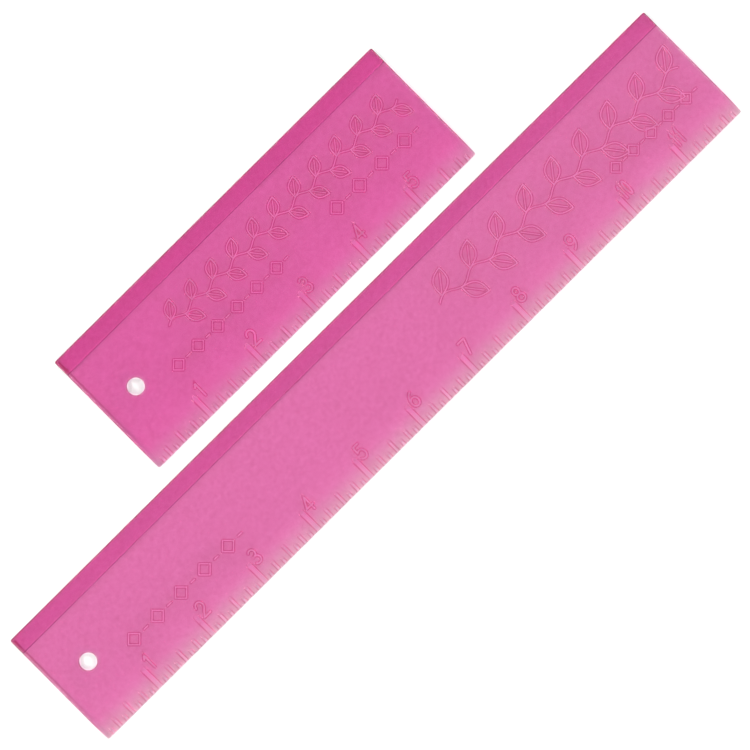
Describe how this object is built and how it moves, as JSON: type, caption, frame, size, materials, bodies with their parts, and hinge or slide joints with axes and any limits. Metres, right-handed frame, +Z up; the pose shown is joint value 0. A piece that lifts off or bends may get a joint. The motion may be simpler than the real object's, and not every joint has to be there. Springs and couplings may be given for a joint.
{
  "type": "pair of lipped seam rulers",
  "caption": "Long and short translucent pink moulded rulers, each with a lip under its seam edge, a thin graduated scale edge and a hanging hole.",
  "frame": {"origin": "middle of the pair's footprint on the table, under the lips", "axes": "+X along both scales from zero to full length, +Y towards the lipped edges with the short ruler on that side, +Z up out of the graduated faces"},
  "size_m": [0.3048, 0.1044, 0.0041],
  "materials": {
    "long_tint": "translucent pink moulded acrylic, light satin gloss",
    "short_tint": "translucent pink moulded acrylic, light satin gloss"
  },
  "bodies": {
    "long_body": {"long_ruler": "long_tint"},
    "short_body": {"short_ruler": "short_tint"}
  },
  "joints": [
    {"name": "short_ruler_lift", "type": "slide", "parent": "long_body", "child": "short_body", "axis": [0, 0, 1], "range_m": [0, 0.05]}
  ]
}
